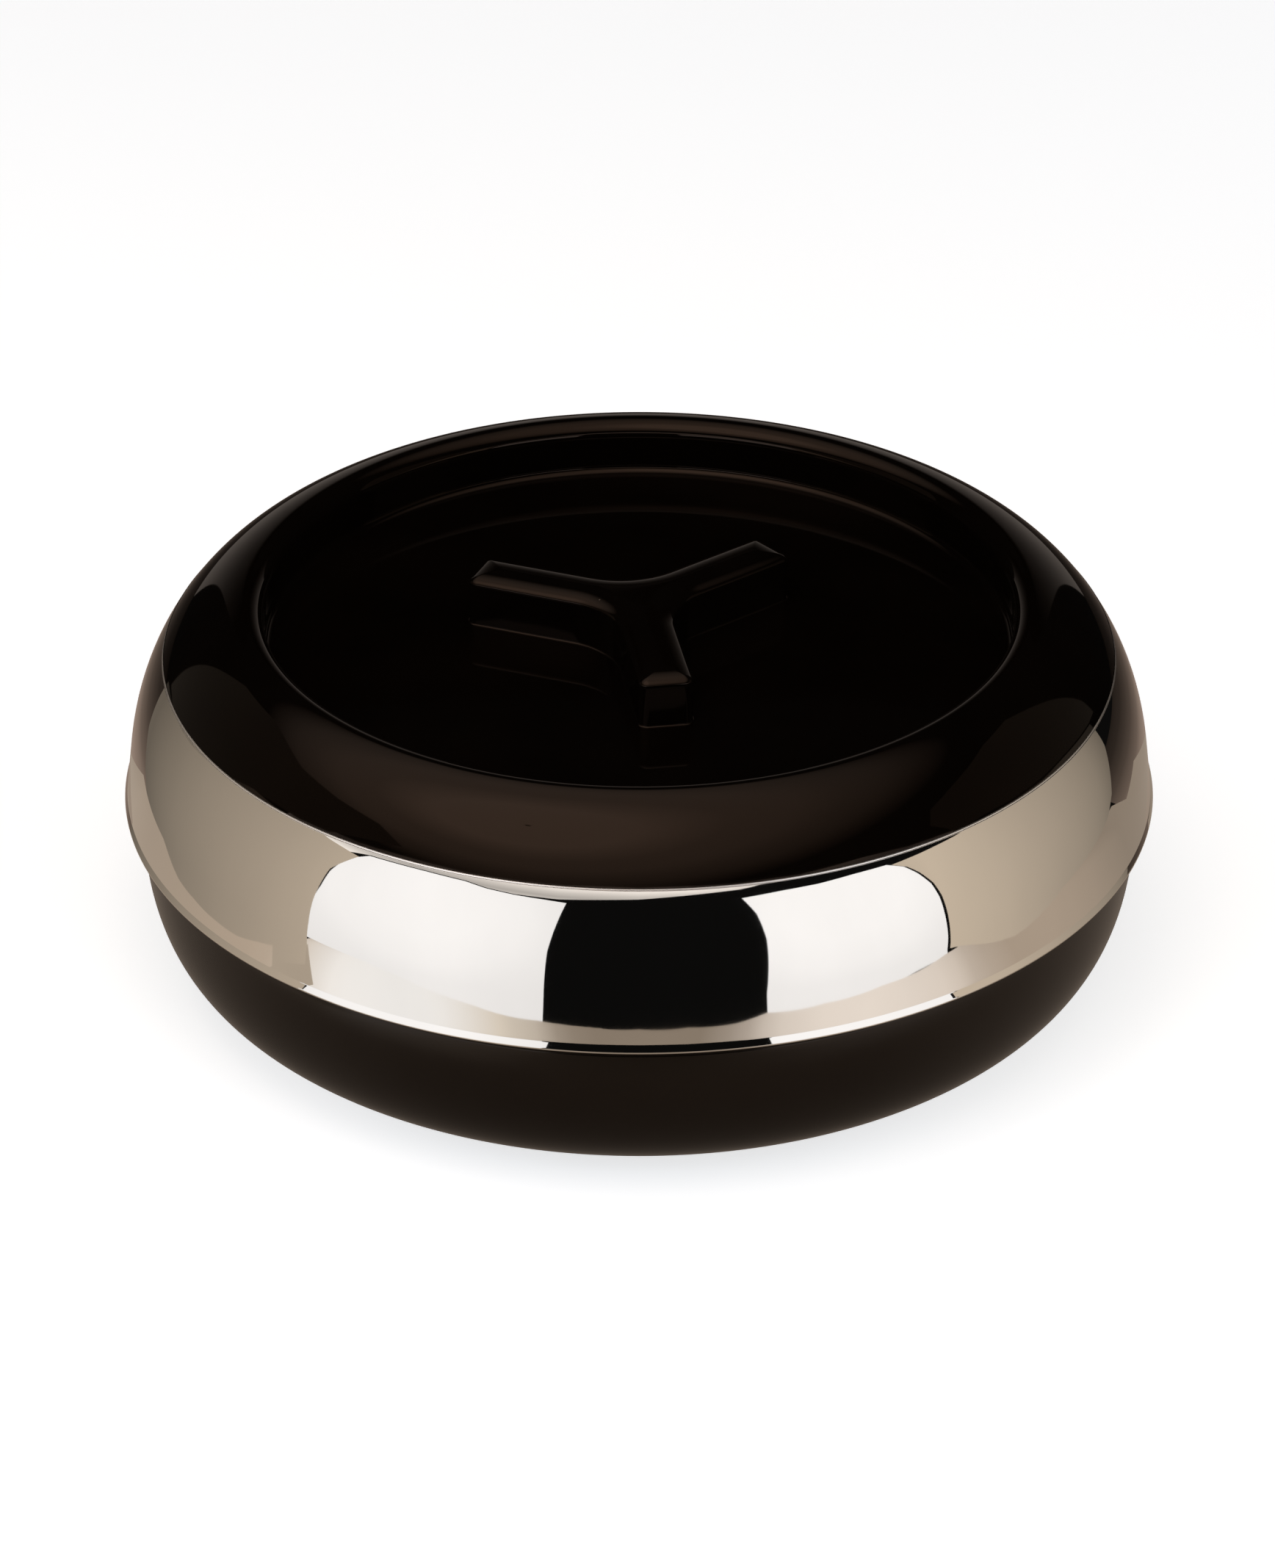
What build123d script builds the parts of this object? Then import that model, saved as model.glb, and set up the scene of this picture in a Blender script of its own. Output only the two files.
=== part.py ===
from build123d import *
import os
from math import atan2, cos, degrees, radians, sin, sqrt, tan

# Insulated casserole for flat breads: a foam-filled base with a steel bowl, and a domed
# lift-off lid with a steel band, a sunk top and a three-armed handle.
# Millimetres, +Z up. The origin is the middle of the base, on the surface it stands on.

# The wall: the lid's outer face is part of an ellipse, turned about Z, with a straight flank below.
belly_radius = 133.4
belly_height = 54.1
crest_height = 105.0
flank_height = 62.7
well_radius = 97.3
well_depth = 15.0
rim_rounding = 4.5
well_corner_rounding = 2.0
seam_drop = 16.0

# The lid's walls
lid_wall = 2.9
lid_floor_thickness = 2.5

# The steel band round the lid
band_thickness = 0.5
band_bond_gap = 0.1
band_seam_gap = 0.4
band_bottom = 48.5
lip_reach = 0.43
lip_roll = 0.65
flare_angle = 26.0
hem_clearance = 0.2
hem_cover = 2.0
seam_edge_rounding = 0.3

# The base
lid_play = 1.4
shoulder_step = 1.2
shoulder_reveal = 2.5
shoulder_rounding = 1.0
neck_height = 10.0
base_wall = 2.6
foot_radius = 86.2
foot_inner_radius = 60.0
foot_stand_off = 0.8
foot_recess_depth = 3.2
base_lower_sweep = 33.0
base_upper_sweep = 34.8

# The four foot pads
pad_radius = 7.0
pad_thickness = 2.0
pad_count = 4
pad_start_angle = 45.0
pad_clearance = 0.15

# The steel bowl and the ring that covers its flange
insulation_width = 18.6
bowl_floor_height = 14.0
bowl_corner_rounding = 14.0
bowl_bend = 3.0
steel_thickness = 0.6
rim_ring_thickness = 2.5
rim_ring_cover = 4.0
rim_ring_rounding = 1.0
rim_skirt_depth = 6.0
rim_skirt_thickness = 3.0
snap_clearance = 0.3

# The lid's underside: seal, closing ring and steel pan
seal_gap = 0.2
seal_width = 5.0
seal_thickness = 2.0
seal_groove_depth = 1.2
seal_side_clearance = 0.2
closing_ring_thickness = 3.0
pan_step = 6.0
pan_depth = 9.5
pan_corner_rounding = 8.0
pan_bend = 2.0
pan_flange_width = 10.0
pan_ring_clearance = 0.7

# The handle
arm_reach = 45.5
arm_width = 14.0
arm_angles = (39.0, 159.0, 279.0)
handle_height = 13.4
handle_wall = 2.4
handle_root_rounding = 20.0
handle_end_rounding = 2.5
handle_top_rounding = 3.0

# The screws that hold the handle
screw_reach = 31.0
screw_radius = 1.5
screw_length = 11.0
screw_head_radius = 2.8
screw_head_height = 2.2
screw_hole_clearance = 0.3
pilot_clearance = 0.05
boss_wall = 1.9
washer_radius = 4.0
washer_thickness = 0.8
washer_clearance = 0.1

# The plugs in the holes that the foam is poured through
plug_radius = 5.9
plug_flange_radius = 8.0
plug_flange_thickness = 1.2
plug_shank_length = 5.0
plug_clearance = 0.1

# Foam is drawn a little clear of the walls round it.
foam_clearance = 0.2

# Heights and radii that follow from the sizes above
crest_radius = well_radius
seam_height = crest_height - seam_drop
well_floor = crest_height - well_depth
lid_ceiling = well_floor - lid_floor_thickness
band_rebate = band_thickness + band_bond_gap
lid_inset = band_rebate + lid_wall
skirt_bottom = band_bottom + band_thickness + hem_clearance
shoulder_height = band_bottom - shoulder_reveal
mouth_height = shoulder_height + neck_height
rim_top = mouth_height + rim_ring_thickness
seal_bottom = rim_top + seal_gap
seal_top = seal_bottom + seal_thickness
closing_ring_bottom = seal_top - seal_groove_depth
closing_ring_top = closing_ring_bottom + closing_ring_thickness
pan_ceiling = closing_ring_top + pan_depth
foot_recess_height = foot_stand_off + foot_recess_depth


def dome_axes(inset):
    """Half the width and half the height of the dome's ellipse, moved in by inset."""
    return belly_radius - crest_radius - inset, crest_height - belly_height - inset


def dome_radius(height, inset=0.0):
    """Radius of the dome at a height, on a copy of the wall moved in by inset."""
    half_width, half_height = dome_axes(inset)
    return crest_radius + half_width * sqrt(1 - ((height - belly_height) / half_height) ** 2)


def flank_slope():
    """How much the straight flank widens for each millimetre down: the dome's own slope where it starts."""
    half_width, half_height = dome_axes(0.0)
    rise = (flank_height - belly_height) / half_height
    return half_width / half_height * rise / sqrt(1 - rise**2)


def wall_radius(height, inset=0.0):
    """Radius of the whole wall at a height, on a copy of the wall moved in by inset."""
    if height >= flank_height:
        return dome_radius(height, inset)
    return dome_radius(flank_height, inset) + flank_slope() * (flank_height - height)


def dome_height(radius, inset=0.0):
    """Height of the dome at a radius, on a copy of the wall moved in by inset."""
    half_width, half_height = dome_axes(inset)
    return belly_height + half_height * sqrt(1 - ((radius - crest_radius) / half_width) ** 2)


def dome_arc(start, end, inset=0.0):
    """The stretch of the dome, moved in by inset, between two points on it."""
    half_width, half_height = dome_axes(inset)
    turns = [
        degrees(atan2((height - belly_height) / half_height, (radius - crest_radius) / half_width))
        for radius, height in (start, end)
    ]
    return EllipticalCenterArc(
        (crest_radius, belly_height), half_width, half_height, turns[0], arc_size=turns[1] - turns[0]
    )


def wall(start, end, inset=0.0):
    """The stretch of the whole wall, moved in by inset, from a point on it to another, down or up."""
    turn = (wall_radius(flank_height, inset), flank_height)
    if min(start[1], end[1]) >= flank_height:
        return [dome_arc(start, end, inset)]
    if max(start[1], end[1]) <= flank_height:
        return [Line(start, end)]
    if start[1] > end[1]:
        return [dome_arc(start, turn, inset), Line(turn, end)]
    return [Line(start, turn), dome_arc(turn, end, inset)]


lip_radius = wall_radius(band_bottom) + lip_reach
skirt_inner_radius = wall_radius(skirt_bottom, lid_inset)
neck_radius = skirt_inner_radius - lid_play
base_radius = neck_radius + shoulder_step
neck_inner_radius = neck_radius - base_wall
bowl_radius = neck_radius - insulation_width
flange_radius = neck_inner_radius - snap_clearance - rim_skirt_thickness - snap_clearance
rim_inner_radius = bowl_radius + rim_ring_cover
seal_radius = (rim_inner_radius + neck_radius) / 2
pan_radius = bowl_radius - pan_step
closing_ring_inner_radius = pan_radius + steel_thickness + pan_ring_clearance
closing_ring_outer_radius = wall_radius(closing_ring_top, lid_inset) - snap_clearance
pad_circle_radius = (foot_inner_radius + foot_radius) / 2


def turned(*edges):
    """A solid of revolution about Z from the closed outline that the edges make in radius and height."""
    outline = make_face(list(edges))
    return revolve(Plane.XZ * outline, Axis.Z)


def run(*points):
    """Straight lines from point to point, as a list of edges."""
    return [Line(start, end) for start, end in zip(points, points[1:])]


def circle_near(solid, radius, height):
    """The circular edge of a turned solid that lies nearest to a radius and a height."""
    circles = solid.edges().filter_by(GeomType.CIRCLE)
    return min(circles, key=lambda edge: abs(edge.radius - radius) + abs(edge.arc_center.Z - height))


def rounded(solid, radius, height, rounding):
    """The turned solid with its circular edge at this radius and height rounded."""
    return fillet(circle_near(solid, radius, height), rounding)


def upright(radius, bottom, top, reach=0.0, angle=0.0):
    """A cylinder from one height to another, set out from the axis by reach at an angle."""
    place = Rot(0, 0, angle) * Pos(reach, 0, bottom)
    return place * Cylinder(radius, top - bottom, align=(Align.CENTER, Align.CENTER, Align.MIN))


def lid_shell():
    """The glossy moulding with the sunk top, the rolled rim and the skirt behind the steel band."""
    well_edge = (well_radius, well_floor)
    crest = (well_radius, crest_height)
    seam = (wall_radius(seam_height), seam_height)
    rebate_top = (wall_radius(seam_height, band_rebate), seam_height)
    rebate_bottom = (wall_radius(skirt_bottom, band_rebate), skirt_bottom)
    skirt_foot = (skirt_inner_radius, skirt_bottom)
    behind_well = well_radius + lid_wall
    inner_crest = (behind_well, dome_height(behind_well, lid_inset))
    outline = run((0, lid_ceiling), (0, well_floor), well_edge, crest)
    outline += wall(crest, seam)
    outline += run(seam, rebate_top)
    outline += wall(rebate_top, rebate_bottom, band_rebate)
    outline += run(rebate_bottom, skirt_foot)
    outline += wall(skirt_foot, inner_crest, lid_inset)
    outline += run(inner_crest, (behind_well, lid_ceiling), (0, lid_ceiling))
    shell = turned(*outline)
    shell = rounded(shell, *crest, rim_rounding)
    shell = rounded(shell, *well_edge, well_corner_rounding)
    shell = rounded(shell, *seam, seam_edge_rounding)
    shell -= upright(plug_radius + plug_clearance, lid_ceiling, well_floor)
    for angle in arm_angles:
        shell -= upright(screw_radius + screw_hole_clearance, lid_ceiling, well_floor, screw_reach, angle)
    return shell


def flare_points(inset=0.0):
    """Where the band, moved in by inset, leaves the flank, and where it meets the roll at its foot."""
    turn = radians(flare_angle)
    centre_radius = lip_radius - lip_roll
    centre_height = band_bottom + lip_roll
    reach = lip_roll - inset
    flank_at_roll = wall_radius(flank_height, inset) + flank_slope() * (flank_height - centre_height)
    rise = (centre_radius + reach / cos(turn) - flank_at_roll) / (tan(turn) - flank_slope())
    top = (flank_at_roll - flank_slope() * rise, centre_height + rise)
    foot = (centre_radius + reach * cos(turn), centre_height + reach * sin(turn))
    return top, foot


def steel_band():
    """The mirror band: its top edge at the seam, its foot flared and rolled in under the skirt."""
    band_top = seam_height - band_seam_gap
    hem_height = band_bottom + band_thickness
    hem_radius = wall_radius(skirt_bottom, band_rebate) - hem_cover
    roll_radius = lip_radius - lip_roll
    outer_top = (wall_radius(band_top), band_top)
    inner_top = (wall_radius(band_top, band_thickness), band_top)
    outer_flare, outer_foot = flare_points()
    inner_flare, inner_foot = flare_points(band_thickness)
    outline = wall(outer_top, outer_flare)
    outline += run(outer_flare, outer_foot)
    outline += [RadiusArc(outer_foot, (roll_radius, band_bottom), lip_roll)]
    outline += run((roll_radius, band_bottom), (hem_radius, band_bottom), (hem_radius, hem_height))
    outline += run((hem_radius, hem_height), (roll_radius, hem_height))
    outline += [RadiusArc((roll_radius, hem_height), inner_foot, band_thickness - lip_roll)]
    outline += run(inner_foot, inner_flare)
    outline += wall(inner_flare, inner_top, band_thickness)
    outline += run(inner_top, outer_top)
    band = turned(*outline)
    return rounded(band, *outer_top, seam_edge_rounding)


def base_shell():
    """The satin bowl that the casserole stands on, with a shoulder below the lid and a neck inside it."""
    foot_inner_edge = (foot_inner_radius, foot_stand_off)
    foot_edge = (foot_radius, foot_stand_off)
    side_top = (base_radius, shoulder_height)
    inner_foot = (foot_radius, foot_stand_off + base_wall)
    inner_side = (base_radius - base_wall, shoulder_height - base_wall - shoulder_step)
    inner_neck = (neck_inner_radius, shoulder_height - base_wall)
    outer_sweep = Bezier(
        foot_edge,
        (foot_radius + base_lower_sweep, foot_stand_off),
        (base_radius, shoulder_height - base_upper_sweep),
        side_top,
    )
    inner_sweep = Bezier(
        inner_side,
        (base_radius - base_wall, shoulder_height - base_upper_sweep + base_wall),
        (foot_radius + base_lower_sweep - base_wall, foot_stand_off + base_wall),
        inner_foot,
    )
    recess_wall_foot = foot_inner_radius - foot_recess_depth
    recess_edge = (recess_wall_foot, foot_recess_height)
    outline = run((0, foot_recess_height), recess_edge, foot_inner_edge, foot_edge)
    outline += [outer_sweep]
    outline += run(side_top, (neck_radius, shoulder_height), (neck_radius, mouth_height))
    outline += run((neck_radius, mouth_height), (neck_inner_radius, mouth_height), inner_neck, inner_side)
    outline += [inner_sweep]
    outline += run(
        inner_foot,
        (foot_inner_radius, foot_stand_off + base_wall),
        (recess_wall_foot, foot_recess_height + base_wall),
        (0, foot_recess_height + base_wall),
        (0, foot_recess_height),
    )
    shell = turned(*outline)
    shell = rounded(shell, *side_top, shoulder_rounding)
    shell -= upright(plug_radius + plug_clearance, foot_recess_height, foot_recess_height + base_wall)
    for angle in pad_angles():
        shell -= upright(pad_radius + pad_clearance, foot_stand_off, pad_thickness, pad_circle_radius, angle)
    return shell


def pad_angles():
    """The angles about Z at which the foot pads stand."""
    return [pad_start_angle + index * 360 / pad_count for index in range(pad_count)]


def foot_pad(angle):
    """One round rubber pad, seated in its recess and standing proud of the foot."""
    return upright(pad_radius, 0, pad_thickness, pad_circle_radius, angle)


def inner_bowl():
    """The pressed steel bowl that holds the bread, with a flange at its mouth."""
    outer_radius = bowl_radius + steel_thickness
    flange_bottom = mouth_height - steel_thickness
    bowl_bottom = bowl_floor_height - steel_thickness
    food_side = FilletPolyline(
        (0, bowl_floor_height),
        (bowl_radius, bowl_floor_height),
        (bowl_radius, mouth_height),
        (flange_radius, mouth_height),
        radius=[bowl_corner_rounding, bowl_bend],
    )
    foam_side = FilletPolyline(
        (0, bowl_bottom),
        (outer_radius, bowl_bottom),
        (outer_radius, flange_bottom),
        (flange_radius, flange_bottom),
        radius=[bowl_corner_rounding + steel_thickness, bowl_bend - steel_thickness],
    )
    ends = [Line((0, bowl_floor_height), (0, bowl_bottom))]
    ends += [Line((flange_radius, mouth_height), (flange_radius, flange_bottom))]
    return turned(*food_side.edges(), *foam_side.edges(), *ends)


def base_rim_ring():
    """The ring on the base's mouth: it covers the bowl's flange and clips inside the neck."""
    skirt_outer = neck_inner_radius - snap_clearance
    skirt_inner = skirt_outer - rim_skirt_thickness
    skirt_foot = mouth_height - rim_skirt_depth
    ring = turned(
        *run(
            (rim_inner_radius, mouth_height),
            (rim_inner_radius, rim_top),
            (neck_radius, rim_top),
            (neck_radius, mouth_height),
            (skirt_outer, mouth_height),
            (skirt_outer, skirt_foot),
            (skirt_inner, skirt_foot),
            (skirt_inner, mouth_height),
            (rim_inner_radius, mouth_height),
        )
    )
    ring = rounded(ring, rim_inner_radius, rim_top, rim_ring_rounding)
    return rounded(ring, neck_radius, rim_top, rim_ring_rounding)


def base_foam():
    """The insulation between the base shell and the steel bowl."""
    side_radius = base_radius - base_wall - foam_clearance
    neck_side = neck_inner_radius - foam_clearance
    bowl_side = bowl_radius + steel_thickness + foam_clearance
    floor = foot_stand_off + base_wall + foam_clearance
    raised_floor = floor + foot_recess_depth
    recess_side = foot_inner_radius - foot_recess_depth
    top = mouth_height - rim_skirt_depth - foam_clearance
    under_flange = mouth_height - steel_thickness - foam_clearance
    under_bowl = bowl_floor_height - steel_thickness - foam_clearance
    neck_foot = shoulder_height - base_wall
    sweep = Bezier(
        (foot_radius, floor),
        (foot_radius + base_lower_sweep - base_wall - foam_clearance, floor),
        (side_radius, shoulder_height - base_upper_sweep + base_wall + foam_clearance),
        (side_radius, neck_foot - shoulder_step - foam_clearance),
    )
    bowl_wall = FilletPolyline(
        (0, under_bowl),
        (bowl_side, under_bowl),
        (bowl_side, under_flange),
        (flange_radius, under_flange),
        radius=[
            bowl_corner_rounding + steel_thickness + foam_clearance,
            bowl_bend - steel_thickness - foam_clearance,
        ],
    )
    outline = run(
        (0, under_bowl),
        (0, raised_floor),
        (recess_side, raised_floor),
        (foot_inner_radius, floor),
        (foot_radius, floor),
    )
    outline += [sweep]
    outline += run(
        (side_radius, neck_foot - shoulder_step - foam_clearance),
        (neck_side, neck_foot - foam_clearance),
        (neck_side, top),
        (flange_radius, top),
        (flange_radius, under_flange),
    )
    foam = turned(*outline, *bowl_wall.edges())
    plug_top = foot_recess_height - plug_flange_thickness + plug_shank_length
    return foam - upright(plug_radius + foam_clearance, 0, plug_top + foam_clearance)


def base_fill_plug():
    """The plug under the base: a flange against the recess and a shank through the hole."""
    flange_bottom = foot_recess_height - plug_flange_thickness
    plug = upright(plug_flange_radius, flange_bottom, foot_recess_height)
    return plug + upright(plug_radius, flange_bottom, flange_bottom + plug_shank_length)


def lid_fill_plug():
    """The plug in the lid's floor, hidden in the hollow of the handle."""
    flange_top = well_floor + plug_flange_thickness
    plug = upright(plug_flange_radius, well_floor, flange_top)
    return plug + upright(plug_radius, flange_top - plug_shank_length, flange_top)


def handle_outline(inset=0.0):
    """The three-armed outline seen from above, with its edge moved in by inset."""
    width = arm_width - 2 * inset
    outline = Sketch()
    for angle in arm_angles:
        arm = Pos((arm_reach - inset) / 2, 0) * Rectangle(arm_reach - inset, width)
        outline += Rot(0, 0, angle) * arm
    roots = outline.vertices().sort_by(lambda vertex: Vector(vertex).length)[: len(arm_angles)]
    outline = fillet(roots, handle_root_rounding + inset)
    if inset > 0:
        return outline
    ends = [vertex for vertex in outline.vertices() if Vector(vertex).length > arm_reach]
    return fillet(ends, handle_end_rounding)


def lid_handle():
    """The hollow three-armed handle, with a boss for a screw in each arm."""
    top = well_floor + handle_height
    cavity_top = top - handle_wall
    body = extrude(Pos(0, 0, well_floor) * handle_outline(), handle_height)
    top_face = body.faces().sort_by(Axis.Z)[-1]
    body = fillet(top_face.edges(), handle_top_rounding)
    body -= extrude(Pos(0, 0, well_floor) * handle_outline(handle_wall), cavity_top - well_floor)
    for angle in arm_angles:
        boss_radius = screw_radius + pilot_clearance + boss_wall
        body += upright(boss_radius, well_floor, cavity_top, screw_reach, angle)
        body -= upright(screw_radius + pilot_clearance, well_floor, cavity_top, screw_reach, angle)
    return body


def handle_screws():
    """Three screws, driven up through the lid's floor into the handle's bosses."""
    head_top = lid_ceiling - washer_thickness
    screws = []
    for angle in arm_angles:
        shank = upright(screw_radius, head_top, head_top + screw_length, screw_reach, angle)
        head = upright(screw_head_radius, head_top - screw_head_height, head_top, screw_reach, angle)
        screws.append(shank + head)
    return Compound(children=screws)


def handle_washers():
    """Three washers between the screw heads and the underside of the lid's floor."""
    washers = []
    for angle in arm_angles:
        disc = upright(washer_radius, lid_ceiling - washer_thickness, lid_ceiling, screw_reach, angle)
        bore = upright(
            screw_radius + washer_clearance, lid_ceiling - washer_thickness, lid_ceiling, screw_reach, angle
        )
        washers.append(disc - bore)
    return Compound(children=washers)


def lid_liner_pan():
    """The steel pan under the lid, hollow side down, with a flange on the closing ring."""
    outer_radius = pan_radius + steel_thickness
    flange_edge = pan_radius + pan_flange_width
    flange_top = closing_ring_top + steel_thickness
    pan_top = pan_ceiling + steel_thickness
    food_side = FilletPolyline(
        (0, pan_ceiling),
        (pan_radius, pan_ceiling),
        (pan_radius, closing_ring_top),
        (flange_edge, closing_ring_top),
        radius=[pan_corner_rounding, pan_bend],
    )
    foam_side = FilletPolyline(
        (0, pan_top),
        (outer_radius, pan_top),
        (outer_radius, flange_top),
        (flange_edge, flange_top),
        radius=[pan_corner_rounding + steel_thickness, pan_bend - steel_thickness],
    )
    ends = [Line((0, pan_ceiling), (0, pan_top))]
    ends += [Line((flange_edge, closing_ring_top), (flange_edge, flange_top))]
    return turned(*food_side.edges(), *foam_side.edges(), *ends)


def lid_closing_ring():
    """The ring that closes the lid's underside between the skirt and the pan, grooved for the seal."""
    groove_inner = seal_radius - seal_width / 2 - seal_side_clearance
    groove_outer = seal_radius + seal_width / 2 + seal_side_clearance
    return turned(
        *run(
            (closing_ring_inner_radius, closing_ring_bottom),
            (closing_ring_inner_radius, closing_ring_top),
            (closing_ring_outer_radius, closing_ring_top),
            (closing_ring_outer_radius, closing_ring_bottom),
            (groove_outer, closing_ring_bottom),
            (groove_outer, seal_top),
            (groove_inner, seal_top),
            (groove_inner, closing_ring_bottom),
            (closing_ring_inner_radius, closing_ring_bottom),
        )
    )


def lid_seal():
    """The silicone ring in the closing ring's groove, just above the base's rim."""
    inner = seal_radius - seal_width / 2
    outer = seal_radius + seal_width / 2
    return turned(
        *run(
            (inner, seal_bottom),
            (outer, seal_bottom),
            (outer, seal_top),
            (inner, seal_top),
            (inner, seal_bottom),
        )
    )


def lid_foam():
    """The insulation between the lid shell, the steel pan and the closing ring."""
    inset = lid_inset + foam_clearance
    floor = closing_ring_top + foam_clearance
    ceiling = lid_ceiling - foam_clearance
    behind_well = well_radius + lid_wall + foam_clearance
    pan_side = pan_radius + steel_thickness + foam_clearance
    over_pan = pan_ceiling + steel_thickness + foam_clearance
    over_flange = closing_ring_top + steel_thickness + foam_clearance
    flange_edge = pan_radius + pan_flange_width + foam_clearance
    skirt_side = (wall_radius(floor, inset), floor)
    inner_crest = (behind_well, dome_height(behind_well, inset))
    over = FilletPolyline(
        (0, over_pan),
        (pan_side, over_pan),
        (pan_side, over_flange),
        (flange_edge, over_flange),
        (flange_edge, floor),
        radius=[
            pan_corner_rounding + steel_thickness + foam_clearance,
            pan_bend - steel_thickness - foam_clearance,
            0,
        ],
    )
    outline = run((flange_edge, floor), skirt_side)
    outline += wall(skirt_side, inner_crest, inset)
    outline += run(inner_crest, (behind_well, ceiling), (0, ceiling), (0, over_pan))
    foam = turned(*over.edges(), *outline)
    plug_foot = well_floor + plug_flange_thickness - plug_shank_length - foam_clearance
    foam -= upright(plug_radius + foam_clearance, plug_foot, lid_ceiling)
    head_foot = lid_ceiling - washer_thickness - screw_head_height - foam_clearance
    for angle in arm_angles:
        foam -= upright(washer_radius + foam_clearance, head_foot, lid_ceiling, screw_reach, angle)
    return foam


def nodes():
    """Every node by name."""
    parts = {
        "base_shell": base_shell(),
        "base_fill_plug": base_fill_plug(),
        "base_foam": base_foam(),
        "inner_bowl": inner_bowl(),
        "base_rim_ring": base_rim_ring(),
        "lid_shell": lid_shell(),
        "steel_band": steel_band(),
        "lid_handle": lid_handle(),
        "handle_screws": handle_screws(),
        "handle_washers": handle_washers(),
        "lid_fill_plug": lid_fill_plug(),
        "lid_foam": lid_foam(),
        "lid_liner_pan": lid_liner_pan(),
        "lid_closing_ring": lid_closing_ring(),
        "lid_seal": lid_seal(),
    }
    for index, angle in enumerate(pad_angles(), start=1):
        parts[f"foot_pad_{index}"] = foot_pad(angle)
    return parts


os.makedirs("parts", exist_ok=True)
for name, shape in nodes().items():
    export_step(shape, f"parts/{name}.step")
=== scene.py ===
import logging
from dataclasses import dataclass
from enum import Enum
from math import asin, atan2, cos, degrees, hypot, pi, radians, sin, sqrt, tan

import bpy
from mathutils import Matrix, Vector


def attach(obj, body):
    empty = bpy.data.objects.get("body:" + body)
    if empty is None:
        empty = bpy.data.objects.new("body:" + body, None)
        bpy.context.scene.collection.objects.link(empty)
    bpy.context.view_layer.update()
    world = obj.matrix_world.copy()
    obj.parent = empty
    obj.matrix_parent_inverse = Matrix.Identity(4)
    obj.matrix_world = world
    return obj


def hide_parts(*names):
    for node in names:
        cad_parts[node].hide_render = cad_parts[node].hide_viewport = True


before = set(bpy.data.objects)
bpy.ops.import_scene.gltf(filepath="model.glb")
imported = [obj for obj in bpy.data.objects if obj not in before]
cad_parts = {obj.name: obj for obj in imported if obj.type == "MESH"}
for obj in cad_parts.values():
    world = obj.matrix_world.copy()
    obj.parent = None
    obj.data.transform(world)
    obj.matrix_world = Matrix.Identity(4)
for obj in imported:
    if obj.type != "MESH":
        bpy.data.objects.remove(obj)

# The insulated casserole's looks: its smooth outer shells and handle, the finish of every piece, and the
# studio round it. Lengths in the classes are millimetres, angles are degrees, and Blender gets metres.
# Vertices closer than CLOSING or WELDING, in metres, become one.

MM = 0.001
CLOSING = 1e-7
WELDING = 1e-6
NOISE_RUN = (0.3, 0.7)
Point = tuple[float, float]
Line = tuple[Point, ...]
Place = tuple[float, float, float]
Places = tuple[Place, ...]
Colour = tuple[float, float, float]
Piece = bpy.types.Object
Socket = bpy.types.NodeSocket
log = logging.getLogger("casserole")


# Shared modelling steps


def mode(name: str) -> None:
    """Enter edit mode or object mode."""
    bpy.ops.object.mode_set(mode=name)


def select_whole() -> None:
    """Select every corner, edge and face of the mesh in edit mode."""
    bpy.ops.mesh.select_all(action="SELECT")


def clear_selection() -> None:
    """Leave edit mode and deselect every object."""
    if bpy.context.object and bpy.context.object.mode != "OBJECT":
        mode("OBJECT")
    bpy.ops.object.select_all(action="DESELECT")


def only(piece: Piece) -> None:
    """Select one object alone and make it active.

    Args:
        piece: The object to work on.
    """
    clear_selection()
    piece.select_set(True)
    bpy.context.view_layer.objects.active = piece


def drawn(name: str, places: Places, closed: bool = False) -> Piece:
    """Draw a line of edges through places, by merging a plane to one vertex and extruding it on.

    Args:
        name: Name of the new object, which is left in edit mode.
        places: The corners of the line, in millimetres.
        closed: Whether the last corner is joined to the first.

    Returns:
        The object with its line of edges.
    """
    clear_selection()
    bpy.ops.mesh.primitive_plane_add(size=0.01, location=(0, 0, 0), enter_editmode=True)
    piece = bpy.context.object
    piece.name = name
    piece.data.name = name
    bpy.ops.mesh.select_mode(type="VERT")
    select_whole()
    bpy.ops.mesh.merge(type="CENTER")
    at = Vector(places[0]) * MM
    bpy.ops.transform.translate(value=at)
    for place in (*places[1:], *places[: int(closed)]):
        step = Vector(place) * MM - at
        bpy.ops.mesh.extrude_region_move(TRANSFORM_OT_translate={"value": step})
        at = at + step
    if closed:
        select_whole()
        bpy.ops.mesh.remove_doubles(threshold=CLOSING)
    return piece


def pick(piece: Piece, first: int = 0) -> None:
    """Select a piece's edges between corners from a number on, and enter edit mode.

    Args:
        piece: The object to work on.
        first: The lowest number of a corner that counts.
    """
    only(piece)
    mode("EDIT")
    bpy.ops.mesh.select_mode(type="EDGE")
    bpy.ops.mesh.select_all(action="DESELECT")
    mode("OBJECT")
    for edge in piece.data.edges:
        edge.select = min(edge.vertices) >= first
    mode("EDIT")


def bridge(piece: Piece, other: Piece, first: int = 0) -> None:
    """Join a line of edges to a piece, and bridge the two.

    Args:
        piece: The piece, which stays.
        other: The line of edges, which becomes part of it.
        first: The lowest number of a corner of the piece that counts.
    """
    only(piece)
    other.select_set(True)
    bpy.ops.object.join()
    pick(piece, first)
    bpy.ops.mesh.bridge_edge_loops()
    mode("OBJECT")


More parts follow.
